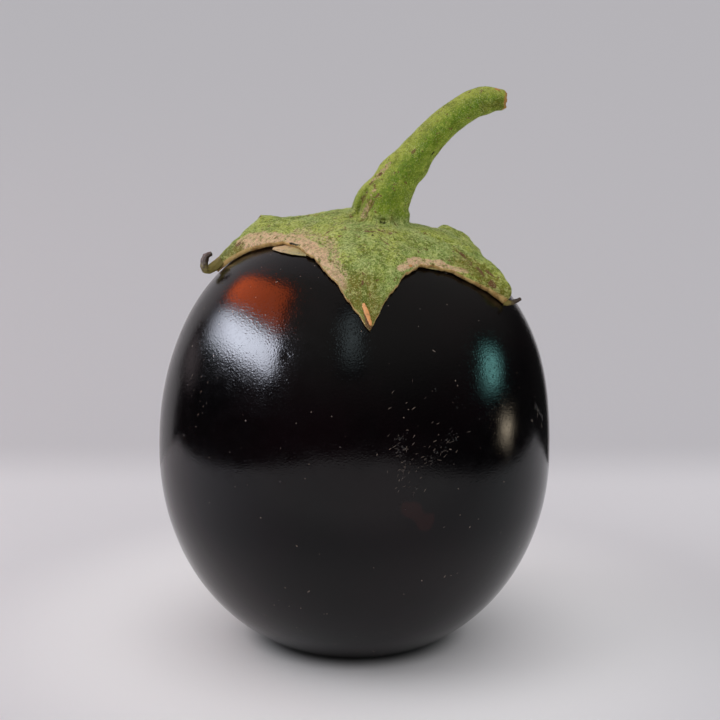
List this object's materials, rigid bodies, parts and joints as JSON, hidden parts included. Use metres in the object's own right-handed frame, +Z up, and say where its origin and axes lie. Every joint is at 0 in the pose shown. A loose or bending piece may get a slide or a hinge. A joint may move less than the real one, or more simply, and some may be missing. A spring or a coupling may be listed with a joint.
{
  "type": "round eggplant",
  "caption": "Whole round eggplant, nearly black and glossy, standing on its blossom end, with a lobed green calyx and a short curved stem.",
  "frame": {"origin": "middle of the flat spot at the fruit's blossom end, on the surface that it rests on", "axes": "+Z up from the blossom end to the crown, -Y towards the side that the picture shows, +X towards the cut end of the stem"},
  "size_m": [0.1062, 0.105, 0.1511],
  "materials": {
    "fruit_skin": "gloss",
    "calyx_green": "matte"
  },
  "bodies": {
    "root": {"fruit": "fruit_skin", "calyx_and_stem": "calyx_green"}
  },
  "joints": []
}
